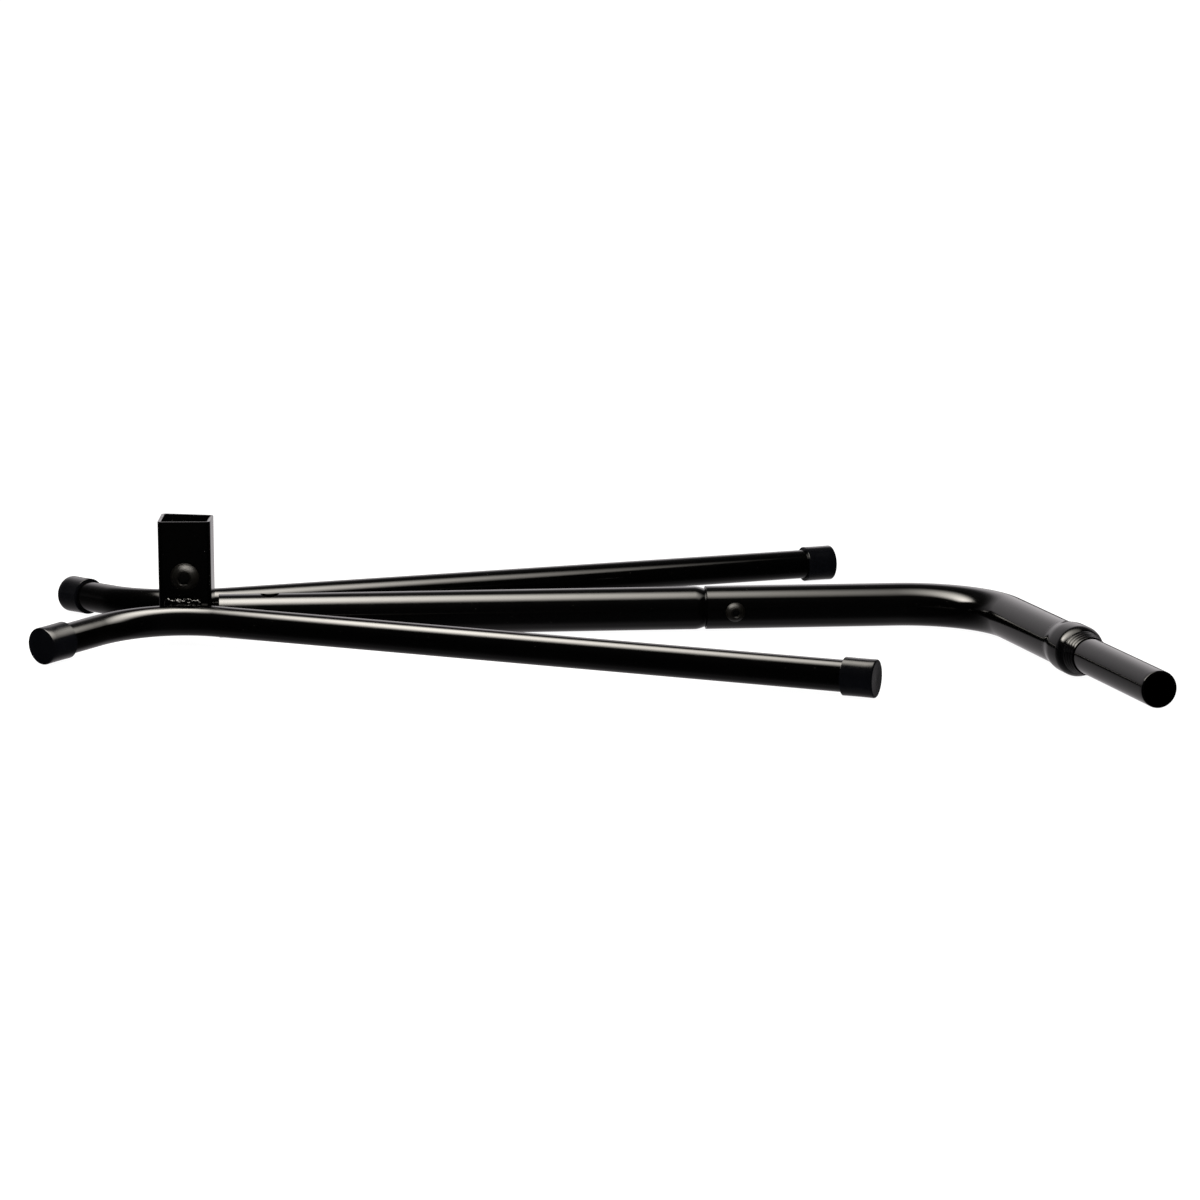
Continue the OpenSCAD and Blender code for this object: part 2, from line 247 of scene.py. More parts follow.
def lathe(points, sides=ROUND_SIDES, closed=True):
    """Solid of revolution about X from points (x, radius); closed makes a hollow wall."""
    bm = bmesh.new()
    rings = [round_ring(bm, x, r, sides) for x, r in points]
    join_rings(bm, rings, closed)
    if not closed:
        cap_ring(bm, rings[0], (points[0][0], 0, 0))
        cap_ring(bm, rings[-1], (points[-1][0], 0, 0))
    return bm


def smooth_step(x0, r0, x1, r1, steps=16):
    """Points of a smooth step from (x0, r0) to (x1, r1)."""
    return [(x0 + (x1 - x0) * i / steps, r0 + (r1 - r0) * (1 - math.cos(math.pi * i / steps)) / 2)
            for i in range(steps + 1)]


def spaced(x0, x1, step):
    """Places from x0 to x1, both included, no more than a step apart."""
    count = max(1, math.ceil(abs(x1 - x0) / step))
    return [x0 + (x1 - x0) * i / count for i in range(count + 1)]


def swept_tube(stations, outer, inner):
    """Tube along stations (x, y, heading) in the XY plane, with both ends open."""
    bm = bmesh.new()

    def ring(station, r):
        x, y, heading = station
        side = Vector((-math.sin(heading), math.cos(heading), 0))
        return [bm.verts.new(Vector((x, y, 0)) + r * (math.cos(a) * side + Vector((0, 0, math.sin(a)))))
                for a in (math.tau * i / ROUND_SIDES for i in range(ROUND_SIDES))]

    edge = 0.25 * MM
    first, last = stations[0], stations[-1]

    def inward(station, sign):
        x, y, heading = station
        return (x + sign * edge * math.cos(heading), y + sign * edge * math.sin(heading), heading)

    rings = [ring(first, outer - edge), ring(inward(first, 1), outer)]
    rings += [ring(s, outer) for s in stations[1:-1]]
    rings += [ring(inward(last, -1), outer), ring(last, outer - edge)]
    rings += [ring(last, inner + edge), ring(inward(last, -1), inner)]
    rings += [ring(s, inner) for s in reversed(stations[1:-1])]
    rings += [ring(inward(first, 1), inner), ring(first, inner + edge)]
    join_rings(bm, rings, closed=True)
    return bm


def cut(obj, cutter, sharp=math.radians(35)):
    """Takes the cutter's shape out of obj and removes the cutter."""
    mod = obj.modifiers.new("cut", "BOOLEAN")
    mod.object = cutter
    mod.operation = "DIFFERENCE"
    mod.solver = "EXACT"
    depsgraph = bpy.context.evaluated_depsgraph_get()
    mesh = bpy.data.meshes.new_from_object(obj.evaluated_get(depsgraph))
    obj.modifiers.clear()
    obj.data = mesh
    bpy.data.objects.remove(cutter)
    sharpen(obj, sharp)


def drill(obj, matrix, r, x0, x1, sides=96):
    """Drills a hole of radius r along the matrix's X."""
    cut(obj, make_object("drill", lathe([(x0, r), (x1, r)], sides, closed=False), matrix))


def finish_piece(obj, material, slot, body, *nodes):
    """Gives a piece its material and ties it to the frame."""
    obj.data.materials.clear()
    obj.data.materials.append(material)
    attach(obj, body)
    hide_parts(*nodes)
    return obj


# ---- Materials ----


class Shader:
    """A material with a Principled surface and a few helpers for its node tree."""

    def __init__(self, name, base, roughness, metallic=0.0, specular=0.5):
        self.material = bpy.data.materials.new(name)
        self.material.use_nodes = True
        self.tree = self.material.node_tree
        self.bsdf = self.tree.nodes["Principled BSDF"]
        self.bsdf.inputs["Base Color"].default_value = (*base, 1)
        self.bsdf.inputs["Roughness"].default_value = roughness
        self.bsdf.inputs["Metallic"].default_value = metallic
        self.bsdf.inputs["Specular IOR Level"].default_value = specular
        self.coords = self.tree.nodes.new("ShaderNodeTexCoord").outputs["Object"]
        self.last_bump = None

    def link(self, a, b):
        self.tree.links.new(a, b)

    def noise(self, scale, detail=2.0, rough=0.5):
        node = self.tree.nodes.new("ShaderNodeTexNoise")
        node.inputs["Scale"].default_value = scale
        node.inputs["Detail"].default_value = detail
        node.inputs["Roughness"].default_value = rough
        self.link(self.coords, node.inputs["Vector"])
        return node.outputs["Fac"]

    def spread(self, fac, low, high, to_low, to_high):
        """Maps fac from low..high to to_low..to_high, held at both ends."""
        node = self.tree.nodes.new("ShaderNodeMapRange")
        for key, value in zip(("From Min", "From Max", "To Min", "To Max"),
                              (low, high, to_low, to_high)):
            node.inputs[key].default_value = value
        self.link(fac, node.inputs["Value"])
        return node.outputs["Result"]

    def colours(self, fac, first, second):
        """Base colour that goes from the first colour to the second with fac."""
        node = self.tree.nodes.new("ShaderNodeMix")
        node.data_type = "RGBA"
        node.inputs["A"].default_value = (*first, 1)
        node.inputs["B"].default_value = (*second, 1)
        self.link(fac, node.inputs["Factor"])
        self.link(node.outputs["Result"], self.bsdf.inputs["Base Color"])

    def roughness(self, fac, low, high):
        self.link(self.spread(fac, 0.35, 0.65, low, high), self.bsdf.inputs["Roughness"])

    def bump(self, height, strength, distance):
        node = self.tree.nodes.new("ShaderNodeBump")
        node.inputs["Strength"].default_value = strength
        node.inputs["Distance"].default_value = distance
        self.link(height, node.inputs["Height"])
        if self.last_bump:
            self.link(self.last_bump, node.inputs["Normal"])
        self.last_bump = node.outputs["Normal"]
        self.link(self.last_bump, self.bsdf.inputs["Normal"])


def powder_coat():
    """Glossy black powder coat: faint orange peel, uneven gloss and a few specks of dust."""
    s = Shader("black_powder_coat", (0.0003, 0.0003, 0.0003), 0.1)
    s.roughness(s.noise(60, 3), 0.09, 0.13)
    specks = s.spread(s.noise(700, 1), 0.80, 0.84, 0, 1)
    s.colours(specks, (0.0003, 0.0003, 0.0003), (0.05, 0.048, 0.045))
    s.bump(s.noise(170, 2), 0.05, 0.0004)
    s.bump(s.noise(1400, 1), 0.03, 0.0001)
    return s.material


def cap_rubber():
    """Satin black rubber with a slight blue cast, mould grain and handling marks."""
    s = Shader("black_rubber", (0.0016, 0.0017, 0.0022), 0.18, specular=0.34)
    s.colours(s.noise(90, 4), (0.0011, 0.0012, 0.0017), (0.0020, 0.0022, 0.0030))
    s.roughness(s.noise(240, 3), 0.14, 0.20)
    s.bump(s.noise(2600, 2), 0.012, 0.0001)
    s.bump(s.noise(320, 2), 0.012, 0.0003)
    return s.material


def moulded_plastic():
    """Glossy black moulded plastic with faint flow waviness."""
    s = Shader("black_plastic", (0.0006, 0.0006, 0.0007), 0.12, specular=0.36)
    s.colours(s.noise(120, 3), (0.0004, 0.0004, 0.0005), (0.0010, 0.0010, 0.0012))
    s.roughness(s.noise(150, 3), 0.09, 0.15)
    s.bump(s.noise(420, 2), 0.05, 0.0002)
    return s.material


def black_oxide():
    """Satin black-oxide steel: dark warm grey with mottled oil film."""
    s = Shader("black_oxide_steel", (0.0020, 0.0017, 0.0013), 0.4, specular=0.36)
    s.colours(s.noise(260, 4), (0.0010, 0.0009, 0.0006), (0.0034, 0.0029, 0.0021))
    s.roughness(s.noise(420, 3), 0.36, 0.44)
    s.bump(s.noise(1500, 3), 0.06, 0.0001)
    return s.material


def zinc_steel():
    """Bright zinc plating with a soft crystalline mottle."""
    s = Shader("zinc_steel", (0.62, 0.62, 0.60), 0.3, metallic=1.0)
    s.colours(s.noise(500, 4), (0.50, 0.50, 0.48), (0.68, 0.69, 0.70))
    s.roughness(s.noise(350, 3), 0.22, 0.38)
    s.bump(s.noise(1800, 2), 0.10, 0.0001)
    return s.material


def white_nylon():
    """Natural nylon, a little milky and uneven."""
    s = Shader("white_nylon", (0.72, 0.70, 0.62), 0.4)
    s.bsdf.inputs["Subsurface Weight"].default_value = 0.15
    s.bsdf.inputs["Subsurface Radius"].default_value = (0.002, 0.002, 0.0015)
    s.colours(s.noise(200, 3), (0.66, 0.64, 0.56), (0.78, 0.76, 0.69))
    s.roughness(s.noise(300, 2), 0.34, 0.46)
    s.bump(s.noise(900, 2), 0.08, 0.0001)
    return s.material


PAINT = powder_coat()
RUBBER = cap_rubber()
PLASTIC = moulded_plastic()
OXIDE = black_oxide()
ZINC = zinc_steel()
NYLON = white_nylon()

# ---- Legs and caps ----


def leg_tube(side, name):
    """One bent leg: short straight, bend, long straight."""
    stations = []
    reach = LEG_SHORT_LEN - CAP_END
    start = -math.pi / 2 - LEG_SHORT_ANGLE
    sweep = LEG_SHORT_ANGLE + LEG_LONG_ANGLE
    for d in spaced(reach, 0, 12 * MM)[:-1]:
        stations.append((-LEG_BEND_R * math.sin(LEG_SHORT_ANGLE) - d * math.cos(LEG_SHORT_ANGLE),
                         LEG_BEND_R * (1 - math.cos(LEG_SHORT_ANGLE)) + d * math.sin(LEG_SHORT_ANGLE),
                         -LEG_SHORT_ANGLE))
    for i in range(BEND_STEPS + 1):
        a = start + sweep * i / BEND_STEPS
        stations.append((LEG_BEND_R * math.cos(a), LEG_BEND_R * (1 + math.sin(a)), a + math.pi / 2))
    for d in spaced(0, LEG_LONG_LEN - CAP_END, 25 * MM)[1:]:
        stations.append((LEG_BEND_R * math.sin(LEG_LONG_ANGLE) + d * math.cos(LEG_LONG_ANGLE),
                         LEG_BEND_R * (1 - math.cos(LEG_LONG_ANGLE)) + d * math.sin(LEG_LONG_ANGLE),
                         LEG_LONG_ANGLE))
    bm = swept_tube(stations, LEG_R, LEG_R - LEG_WALL)
    obj = make_object(name, bm, leg_frame(side))
    return finish_piece(obj, PAINT, "black_powder_coat", "base", name.replace("_skin", ""))


def leg_cap(side, end, length, name):
    """Slip-on cap: flat end with a small round, a thin lip at its open end."""
    lip = 0.35 * MM
    open_x = length - CAP_LEN
    points = [(open_x, LEG_R + 0.05 * MM), (open_x, CAP_R - lip)]
    points += [(open_x + lip * math.sin(a), CAP_R - lip + lip * (1 - math.cos(a)))
               for a in (math.pi / 2 * i / 4 for i in range(1, 5))]
    points += [(open_x + CAP_LEN * k, CAP_R - 0.12 * MM * math.sin(math.pi * k))
               for k in (0.25, 0.5, 0.75)]
    points += [(length - CAP_ROUND + CAP_ROUND * math.sin(a), CAP_R - CAP_ROUND * (1 - math.cos(a)))
               for a in (math.pi / 2 * i / 6 for i in range(7))]
    dish = [(length - 0.25 * MM * (1 - k), (CAP_R - CAP_ROUND) * k) for k in (0.96, 0.9, 0.6, 0.3, 0.02)]
    bm = bmesh.new()
    rings = [round_ring(bm, x, r) for x, r in points + dish]
    inner = [round_ring(bm, x, LEG_R + 0.05 * MM) for x in (length - CAP_END, open_x + 0.2 * MM)]
    join_rings(bm, rings)
    join_rings(bm, inner + [rings[0]])
    cap_ring(bm, rings[-1], (length - 0.25 * MM, 0, 0))
    cap_ring(bm, inner[0], (length - CAP_END, 0, 0))
    obj = make_object(name, bm, leg_frame(side) @ end)
    return finish_piece(obj, RUBBER, "black_rubber", "base", name.replace("_skin", ""))


for side, word in ((-1, "front"), (1, "rear")):
    leg_tube(side, f"leg_{word}_skin")
    leg_cap(side, short_end(), LEG_SHORT_LEN, f"cap_{word}_short_skin")
    leg_cap(side, long_end(), LEG_LONG_LEN, f"cap_{word}_long_skin")

# ---- Socket, weld beads and big bolt ----


def square_ring(bm, z, half, radius, notch=0.0):
    """Rounded square outline at height z, with a notch in the middle of its left side."""
    seam = 0.4 * MM
    flat = half - radius
    points = []
    for quarter in range(4):
        spin = Matrix.Rotation(math.pi / 2 * quarter, 2)
        left = quarter == 2
        for y in (-flat, -flat / 2, -seam * 1.2, -seam, seam, seam * 1.2, flat / 2, flat):
            deep = notch if left and abs(y) <= seam * 1.01 else 0.0
            points.append(spin @ Vector((half + deep, y)))
        for i in range(1, 10):
            a = math.pi / 2 * i / 10
            points.append(spin @ Vector((flat + radius * math.cos(a), flat + radius * math.sin(a))))
    return [bm.verts.new((p.x, p.y, z)) for p in points]


def socket_tube():
    """Upright square tube with a sawn rim that dips at one corner, and its inner weld seam."""
    low, high = socket_lo.z, socket_hi.z
    half, inner = SOCKET_W / 2, SOCKET_W / 2 - SOCKET_WALL
    round_out, round_in = SOCKET_ROUND, SOCKET_ROUND - SOCKET_WALL
    ease = 0.45 * MM
    notch = SOCKET_WALL * 0.5
    rim_zone, rim_dip = 1 * MM, 1.4 * MM
    bm = bmesh.new()
    eased = [(low, ease), (low + ease, 0), (high - ease, 0), (high - ease * 0.3, ease * 0.3), (high, ease)]
    rings = [square_ring(bm, z, half - e, round_out - e) for z, e in eased]
    rings += [square_ring(bm, z, inner + e, round_in + e, notch - e) for z, e in reversed(eased)]
    join_rings(bm, rings, closed=True)
    for vert in bm.verts:
        if vert.co.z > high - rim_zone:
            right, rear = (vert.co.x / half + 1) / 2, (vert.co.y / half + 1) / 2
            vert.co.z -= rim_dip * right * rear ** 2
    obj = make_object("socket_tube_skin", bm, BASE)
    hole = BASE @ place(0, -SOCKET_W, SOCKET_BOLT_H) @ turn(math.pi / 2, "Z")
    drill(obj, hole, BIG_BOLT_R + BOLT_HOLE_GAP, 0, 2 * SOCKET_W)
    return finish_piece(obj, PAINT, "black_powder_coat", "base", "socket_tube")


def weld_bead(side, name):
    """Lumpy painted bead in the crevice between a leg and the socket's face."""
    steps, sides = 96, 40
    half_len, bead_r, pitch = 13.6 * MM, 3.6 * MM, 3.2 * MM
    bm = bmesh.new()
    rings = []
    for i in range(steps + 1):
        k = -1 + 2 * i / steps
        x = half_len * k
        swell = math.sqrt(max(0.0, 1 - abs(k) ** 5)) * bead_r + 0.15 * MM
        ripple = 0.5 * MM * abs(math.sin(x / pitch * math.pi / 2 + 0.6))
        ring = []
        for j in range(sides):
            a = math.tau * j / sides
            out = Vector((0, math.cos(a), math.sin(a)))
            spot = Vector((x, out.y * 4 * MM, out.z * 4 * MM)) / (2.6 * MM)
            lump = noise.noise(spot + Vector((7 * side, 3, 1))) * 1.0 * MM
            lump += noise.noise(spot * 2.7) * 0.45 * MM
            centre = Vector((x, side * (FACE_Y + 2.9 * MM), LEG_MID_H + 11.0 * MM))
            ring.append(bm.verts.new(centre + out * max(0.1 * MM, swell + ripple + lump)))
        rings.append(ring)
    join_rings(bm, rings)
    for ring in (rings[0], rings[-1]):
        cap_ring(bm, ring, sum((v.co for v in ring), Vector()) / sides)
    obj = make_object(name, bm, BASE @ place(-1.2 * MM), sharp=math.radians(80))
    return finish_piece(obj, PAINT, "black_powder_coat", "base", name.replace("_bead", ""))


def hex_ring(bm, z, apothem, sides):
    """Hexagon outline at z, with as many points as a round ring."""
    ring = []
    for i in range(sides):
        a = math.tau * i / sides
        r = apothem / math.cos((a + math.pi / 6) % (math.pi / 3) - math.pi / 6)
        ring.append(bm.verts.new((z, r * math.cos(a), r * math.sin(a))))
    return ring


def button_bolt(name, matrix, body, node, size):
    """Button-head bolt along +X: dished crown, countersunk hex recess, threaded end."""
    r, head_r, head_h, hexa, length, thread = size
    sides = 96
    crown_r = head_r * 0.52
    bm = bmesh.new()
    recess = -head_h * 0.4
    rings = [hex_ring(bm, recess, hexa / 2 * 0.97, sides),
             hex_ring(bm, -head_h + 0.7 * MM, hexa / 2, sides),
             round_ring(bm, -head_h + 0.12 * MM, hexa / 2 * 1.26, sides),
             round_ring(bm, -head_h, hexa / 2 * 1.31, sides),
             round_ring(bm, -head_h, crown_r, sides)]
    dome_z = (head_r ** 2 - crown_r ** 2 - head_h ** 2) / (2 * head_h)
    dome_r = math.hypot(head_r, dome_z)
    first, last = math.asin(crown_r / dome_r), math.asin(head_r / dome_r)
    for i in range(1, 15):
        a = first + (last - first) * i / 15
        rings.append(round_ring(bm, dome_z - dome_r * math.cos(a), dome_r * math.sin(a), sides))
    rings += [round_ring(bm, x, q, sides) for x, q in (
        (-0.35 * MM, head_r - 0.05 * MM), (-0.1 * MM, head_r), (0, head_r - 0.15 * MM),
        (0, r + 0.4 * MM), (0.3 * MM, r), (length - thread, r))]
    pitch = 1.5 * MM
    x = length - thread
    while x + pitch < length - 0.8 * MM:
        rings += [round_ring(bm, x + pitch * 0.5, r * 0.88, sides), round_ring(bm, x + pitch * 0.9, r, sides),
                  round_ring(bm, x + pitch, r, sides)]
        x += pitch
    rings.append(round_ring(bm, length, r - 0.9 * MM, sides))
    join_rings(bm, rings)
    cap_ring(bm, rings[0], (recess + 0.8 * MM, 0, 0))
    cap_ring(bm, rings[-1], (length, 0, 0))
    obj = make_object(name, bm, matrix @ turn(-math.pi / 2, "Y"), sharp=math.radians(40))
    return finish_piece(obj, OXIDE, "black_oxide_steel", body, node)


socket_tube()
weld_bead(-1, "weld_front_bead")
weld_bead(1, "weld_rear_bead")
big_len = SOCKET_W + BIG_WASHER + BIG_NUT_H + 2.5 * MM
button_bolt("socket_bolt_skin", SOCKET_BOLT, "base", "socket_bolt",
            (BIG_BOLT_R, BIG_HEAD_R, BIG_HEAD_H, BIG_HEX, big_len, BIG_THREAD))

# ---- Mast ----


def mast_lower_tube():
    """Lower mast tube with its cross hole, a shoulder that dives in, and its swaged end."""
    edge = 0.25 * MM
    wall_in = INSERT_R - MAST_WALL
    end = JOINT_X + INSERT_LEN
    fine = spaced(CROSS_HOLE_AT - 12 * MM, CROSS_HOLE_AT + 12 * MM, 1.5 * MM)
    far = spaced(CROSS_HOLE_AT + 30 * MM, LOWER_LEN - 8 * MM, 30 * MM)
    points = [(0, MAST_BORE_R + edge), (0, MAST_R - edge), (edge, MAST_R)]
    points += [(x, MAST_R) for x in fine + far]
    points += [(LOWER_LEN + SHOULDER_LEN * t, MAST_R + (INSERT_R - MAST_R) * (1 - math.cos(math.pi * t / 2)))
               for t in (i / 12 for i in range(13))]
    points += [(JOINT_X + JOINT_BOLT_AT, INSERT_R), (end - edge, INSERT_R), (end, INSERT_R - edge)]
    points += [(end, wall_in), (LOWER_LEN + SHOULDER_LEN, wall_in), (LOWER_LEN - 1 * MM, MAST_BORE_R)]
    points += [(x, MAST_BORE_R) for x in reversed(fine + far)]
    points += [(edge, MAST_BORE_R)]
    obj = make_object("mast_lower_skin", lathe(points), MAST)
    down = MAST @ place(CROSS_HOLE_AT, 0, -2 * MAST_R) @ turn(-math.pi / 2, "Y")
    drill(obj, down, CROSS_HOLE_R, 0, 4 * MAST_R)
    drill(obj, JOINT_HOLE, SMALL_BOLT_R + BOLT_HOLE_GAP, -2 * MAST_R, 2 * MAST_R)
    return finish_piece(obj, PAINT, "black_powder_coat", "mast", "mast_lower_tube")


def mast_upper_tube():
    """Upper mast tube: joint end, bend and arm."""
    bolt_x = JOINT_X + JOINT_BOLT_AT
    stations = [(JOINT_X, 0, 0)]
    stations += [(x, 0, 0) for x in spaced(bolt_x - 12 * MM, bolt_x + 12 * MM, 1.5 * MM)]
    stations += [(x, 0, 0) for x in spaced(bolt_x + 30 * MM, BEND_X, 25 * MM)[:-1]]
    for i in range(BEND_STEPS + 1):
        a = MAST_BEND_ANGLE * i / BEND_STEPS
        stations.append((BEND_X + MAST_BEND_R * math.sin(a), -MAST_BEND_R * (1 - math.cos(a)), -a))
    x, y, a = stations[-1]
    stations += [(x + d * math.cos(a), y + d * math.sin(a), a) for d in spaced(0, ARM_LEN, 25 * MM)[1:]]
    obj = make_object("mast_upper_skin", swept_tube(stations, MAST_R, MAST_BORE_R), MAST)
    drill(obj, JOINT_HOLE, SMALL_BOLT_R + BOLT_HOLE_GAP, -2 * MAST_R, 2 * MAST_R)
    drill(obj, JOINT_HOLE, JOINT_SEAT_R, -2 * MAST_R, -MAST_R + JOINT_SEAT_DEPTH)
    return finish_piece(obj, PAINT, "black_powder_coat", "mast", "mast_upper_tube")


mast_lower_tube()
mast_upper_tube()
seat = MAST_R - JOINT_SEAT_DEPTH
small_len = seat + MAST_R + SMALL_WASHER + SMALL_NUT_H + 2 * MM
button_bolt("joint_bolt_skin", JOINT_BOLT @ place(z=-seat), "mast", "joint_bolt",
            (SMALL_BOLT_R, SMALL_HEAD_R, SMALL_HEAD_H, SMALL_HEX, small_len, SMALL_THREAD))

# ---- Collar and tip ----


def collar_bush():
    """Moulded collar: flared band, domed nose and fine steps down to the tip tube."""
    nose_r = TIP_R + 0.7 * MM
    nose_drop = 2.6 * MM
    steps = 4
    shelf_x = LIP_X + COLLAR_NOSE * 0.36
    shelf_r = COLLAR_R - nose_drop
    step_len = (NOSE_X - shelf_x) / steps
    drop = (shelf_r - nose_r) / steps
    edge = 0.25 * MM
    points = [(ARM_LEN - COLLAR_PLUG, BUSH_BORE_R), (ARM_LEN - COLLAR_PLUG, MAST_BORE_R - 0.05 * MM),
              (ARM_LEN + 0.05 * MM, MAST_BORE_R - 0.05 * MM), (ARM_LEN + 0.05 * MM, MAST_R + 0.1 * MM),
              (ARM_LEN + 0.25 * MM, MAST_R + 0.35 * MM)]
    points += smooth_step(ARM_LEN + 0.6 * MM, MAST_R + 0.38 * MM, LIP_X - 12 * MM, COLLAR_R, 24)
    points += [(LIP_X - 0.3 * MM, COLLAR_R), (LIP_X + 0.02 * MM, COLLAR_R - 0.03 * MM)]
    for i in range(1, 17):
        t = i / 16
        points.append((LIP_X + (shelf_x - LIP_X) * t, COLLAR_R - nose_drop * t * (0.25 + 0.75 * t)))
    for i in range(steps):
        x, r = shelf_x + step_len * i, shelf_r - drop * (i + 0.5)
        points += [(x + 0.02 * MM, r + edge * 0.4), (x + edge, r), (x + step_len - edge, r - drop * 0.25),
                   (x + step_len, r - drop * 0.3 - edge * 0.5)]
    points += [(NOSE_X, nose_r - drop * 0.6), (NOSE_X, BUSH_BORE_R)]
    obj = make_object("collar_bush_skin", lathe(points), ARM, sharp=math.radians(50))
    return finish_piece(obj, PLASTIC, "black_plastic", "mast", "collar_bush")


def tip_tube():
    """Tip tube with its thinner journal inside the arm and a rounded open mouth."""
    end = TIP_X + TIP_LEN
    bore = TIP_R - TIP_WALL
    lip, lip_in = TIP_WALL * 0.8, TIP_WALL * 0.2
    start = GUIDE_AT - RING_THICK - RING_GAP - TIP_TAIL
    points = [(start, bore), (start, JOURNAL_R), (TIP_X, JOURNAL_R), (TIP_X, TIP_R - 0.1 * MM)]
    points += [(TIP_X + 0.1 * MM, TIP_R)]
    points += [(x, TIP_R) for x in spaced(TIP_X + 10 * MM, end - 5 * MM, 30 * MM)]
    points += [(end - lip + lip * math.sin(a), TIP_R - lip + lip * math.cos(a))
               for a in (math.pi / 2 * i / 9 for i in range(10))]
    points += [(end - lip_in * (1 - math.cos(a)), bore + lip_in * (1 - math.sin(a)))
               for a in (math.pi / 2 * i / 4 for i in range(1, 5))]
    points += [(x, bore) for x in (end - 5 * MM, TIP_X)]
    obj = make_object("tip_tube_skin", lathe(points), ARM)
    return finish_piece(obj, PAINT, "black_powder_coat", "tip", "tip_tube")


collar_bush()
tip_tube()

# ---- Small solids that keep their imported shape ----

for name, material in (("socket_washer", ZINC), ("socket_nut", ZINC), ("socket_nut_insert", NYLON),
                       ("joint_saddle_washer", ZINC), ("joint_nut", ZINC), ("joint_nut_insert", NYLON),
                       ("guide_bush", NYLON), ("retaining_ring", ZINC)):
    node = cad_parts[name]
    node.data.materials.clear()
    node.data.materials.append(material)

# ---- Camera, floor and light ----


def camera():
    """Long lens, level with the long axis, looking a little down from the front."""
    elevation, azimuth = math.radians(11.07), math.radians(0.998)
    distance = 2.9386
    target = SOCKET_AXIS + Vector((0.30126, 0, 0.02613))
    back = Vector((-math.sin(azimuth) * math.cos(elevation),
                   -math.cos(azimuth) * math.cos(elevation), math.sin(elevation)))
    data = bpy.data.cameras.new("camera")
    data.sensor_width = 36
    data.lens = 120.6
    data.clip_end = 200
    obj = bpy.data.objects.new("camera", data)
    obj.location = target + back * distance
    obj.rotation_mode = "QUATERNION"
    obj.rotation_quaternion = (-back).to_track_quat("-Z", "Y")
    bpy.context.scene.collection.objects.link(obj)
    bpy.context.scene.camera = obj


def stage_card(name, x0, x1, y0, y1, z):
    """Flat level rectangle at height z, with a material of its own."""
    mesh = bpy.data.meshes.new(name)
    mesh.from_pydata([(x0, y0, z), (x1, y0, z), (x1, y1, z), (x0, y1, z)], [], [(0, 1, 2, 3)])
    obj = bpy.data.objects.new(name, mesh)
    bpy.context.scene.collection.objects.link(obj)
    material = bpy.data.materials.new(name)
    material.use_nodes = True
    material.node_tree.nodes.clear()
    mesh.materials.append(material)
    return obj, material.node_tree


def floor():
    """White floor that hardly darkens under the stand and stays out of the paint's reflections."""
    obj, tree = stage_card("floor", -60, 60, -60, 60, 0)
    new = tree.nodes.new
    out, add = new("ShaderNodeOutputMaterial"), new("ShaderNodeAddShader")
    diffuse, glow = new("ShaderNodeBsdfDiffuse"), new("ShaderNodeEmission")
    diffuse.inputs["Color"].default_value = (0.12, 0.12, 0.12, 1)
    glow.inputs["Strength"].default_value = 0.97
    tree.links.new(diffuse.outputs[0], add.inputs[0])
    tree.links.new(glow.outputs[0], add.inputs[1])
    tree.links.new(add.outputs[0], out.inputs["Surface"])
    obj.visible_glossy = False


def ramp(tree, stops, interpolation="LINEAR"):
    """Colour ramp through grey stops (place, level)."""
    node = tree.nodes.new("ShaderNodeValToRGB")
    band = node.color_ramp
    band.interpolation = interpolation
    while len(band.elements) > 1:
        band.elements.remove(band.elements[-1])
    band.elements[0].position = stops[0][0]
    band.elements[0].color = (stops[0][1],) * 3 + (1,)
    for spot, level in stops[1:]:
        band.elements.new(spot).color = (level,) * 3 + (1,)
    return node


def softbox():
    """Long softbox over the stand, turned a little, that fades out towards its right end."""
    obj, tree = stage_card("softbox", -0.24, 0.74, -0.25, 0.27, 0.5)
    obj.location = SOCKET_AXIS
    obj.rotation_euler.z = math.radians(-8)
    new, link = tree.nodes.new, tree.links.new
    coords, split = new("ShaderNodeTexCoord"), new("ShaderNodeSeparateXYZ")
    link(coords.outputs["Generated"], split.inputs[0])
    along = ramp(tree, [(0, 0), (0.12, 0.8), (0.2, 1), (0.3, 1), (0.45, 0.76), (0.61, 0.5),
                        (0.78, 0.23), (0.92, 0.12), (1, 0)])
    across = ramp(tree, [(0, 0), (0.47, 1), (0.53, 1), (1, 0)], "EASE")
    link(split.outputs["X"], along.inputs[0])
    link(split.outputs["Y"], across.inputs[0])
    product = new("ShaderNodeMath")
    product.operation = "MULTIPLY"
    link(along.outputs[0], product.inputs[0])
    link(across.outputs[0], product.inputs[1])
    power = new("ShaderNodeMath")
    power.operation = "MULTIPLY"
    power.inputs[1].default_value = 18.5
    link(product.outputs[0], power.inputs[0])
    glow, out = new("ShaderNodeEmission"), new("ShaderNodeOutputMaterial")
    glow.inputs["Color"].default_value = (1, 0.95, 0.87, 1)
    link(power.outputs[0], glow.inputs["Strength"])
    link(glow.outputs[0], out.inputs["Surface"])
    obj.visible_camera = False


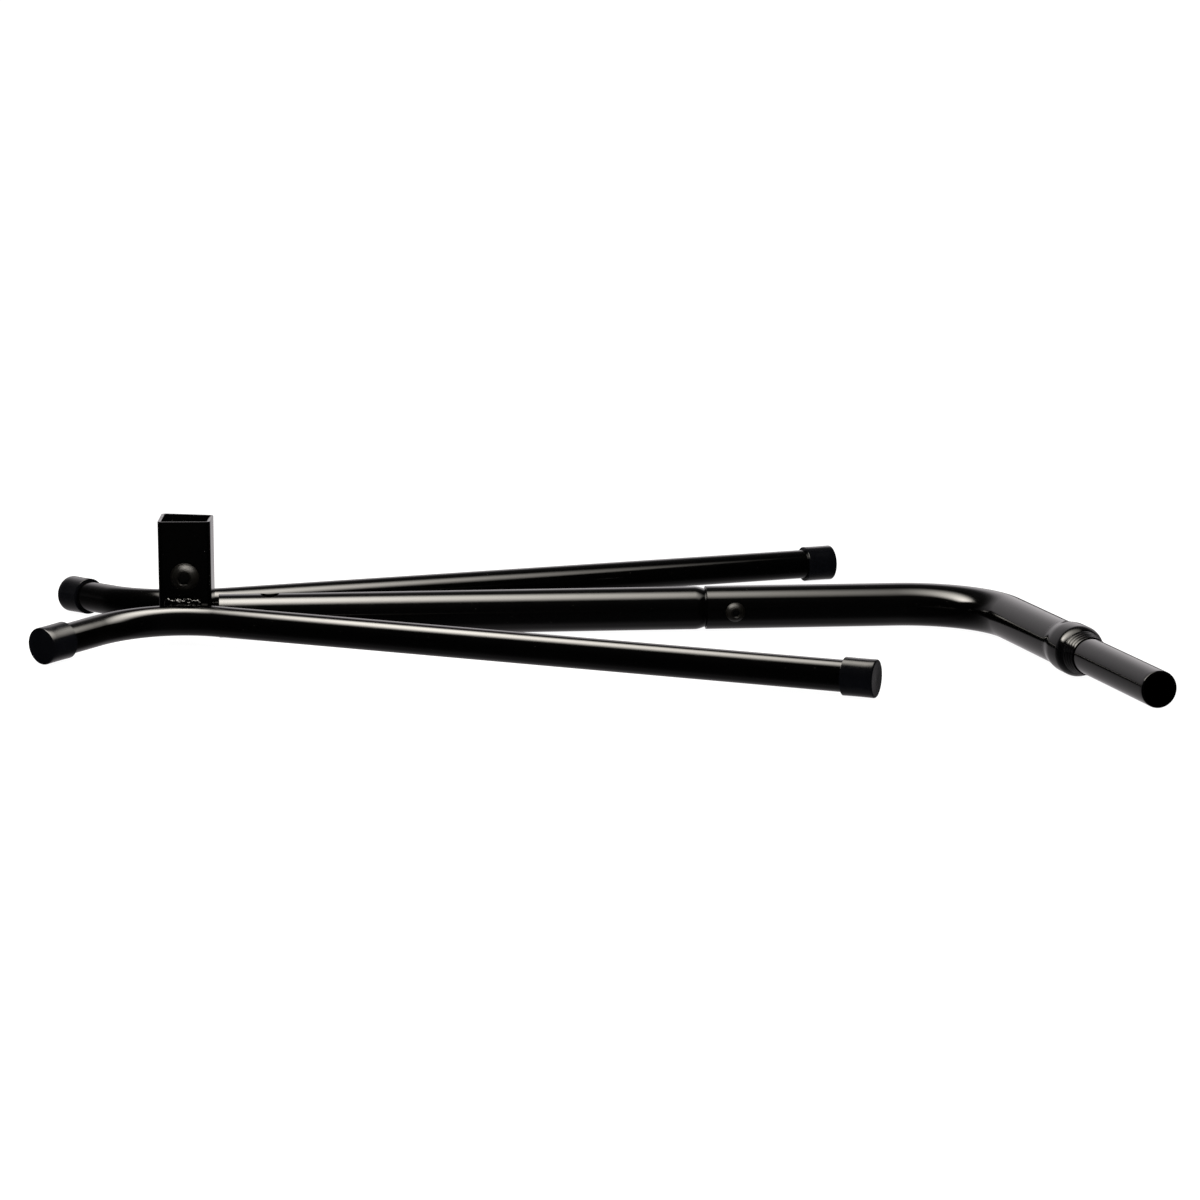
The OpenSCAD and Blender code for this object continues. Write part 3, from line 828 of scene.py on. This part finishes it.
def studio():
    """White for sight and soft light; for reflections, a white sweep behind and a dark front.

    The sweep's brightness goes by the angle round the stand's long axis, from
    straight down at the front, over the top, to the back.
    """
    world = bpy.data.worlds.new("studio")
    bpy.context.scene.world = world
    world.use_nodes = True
    world.cycles.sampling_method = "NONE"
    tree = world.node_tree
    tree.nodes.clear()
    new, link = tree.nodes.new, tree.links.new

    def maths(operation, a, b=None):
        node = new("ShaderNodeMath")
        node.operation = operation
        for socket, value in zip(node.inputs, (a, b)):
            if isinstance(value, (int, float)):
                socket.default_value = value
            elif value is not None:
                link(value, socket)
        return node.outputs[0]

    coords, split = new("ShaderNodeTexCoord"), new("ShaderNodeSeparateXYZ")
    link(coords.outputs["Generated"], split.inputs[0])
    x, y, z = split.outputs
    angle = maths("ARCTAN2", z, maths("MULTIPLY", y, -1))
    place_on_ramp = maths("ADD", maths("DIVIDE", angle, math.tau), 0.5)
    levels = [(-180, 0.0), (-178, 0.05), (-176, 0.3), (-173, 0.6), (-168, 0.68), (-154, 0.6),
              (-135, 0.45), (-121, 0.38), (-110, 0.3), (-100, 0.22), (-92, 0.18), (-77, 0.18),
              (-70, 0.12), (-58, 0.04), (-45, 0.02), (0, 0.012), (30, 0.016), (50, 0.03), (66, 0.02),
              (112, 0.03), (126, 0.07), (137, 0.09), (145, 0.4), (151, 1.0), (157, 1.2), (168, 1.15),
              (176, 1.0), (177.2, 0.0)]
    sweep = ramp(tree, [((a + 180) / 360, level) for a, level in levels])
    link(place_on_ramp, sweep.inputs[0])
    spots = [(-1, 0), (-0.85, 0.12), (-0.62, 0.34), (-0.58, 0.4), (-0.4, 0.54), (-0.18, 0.7), (0, 0.9),
             (0.15, 1.0), (0.35, 0.8), (0.6, 0.12), (1, 0.02)]
    side = ramp(tree, [((spot + 1) / 2, level) for spot, level in spots])
    link(maths("ADD", maths("DIVIDE", x, 2), 0.5), side.inputs[0])
    tint = new("ShaderNodeMix")
    tint.data_type = "RGBA"
    tint.blend_type = "MULTIPLY"
    tint.inputs["Factor"].default_value = 1
    tint.inputs["B"].default_value = (1, 0.955, 0.975, 1)
    link(sweep.outputs[0], tint.inputs["A"])
    glossy, plain = new("ShaderNodeBackground"), new("ShaderNodeBackground")
    link(tint.outputs["Result"], glossy.inputs["Color"])
    link(side.outputs[0], glossy.inputs["Strength"])
    plain.inputs["Color"].default_value = (1, 1, 1, 1)
    plain.inputs["Strength"].default_value = 1.0
    path, mix, out = new("ShaderNodeLightPath"), new("ShaderNodeMixShader"), new("ShaderNodeOutputWorld")
    link(path.outputs["Is Glossy Ray"], mix.inputs[0])
    link(plain.outputs[0], mix.inputs[1])
    link(glossy.outputs[0], mix.inputs[2])
    link(mix.outputs[0], out.inputs["Surface"])


camera()
floor()
softbox()
studio()
bpy.context.scene.view_settings.view_transform = "Standard"
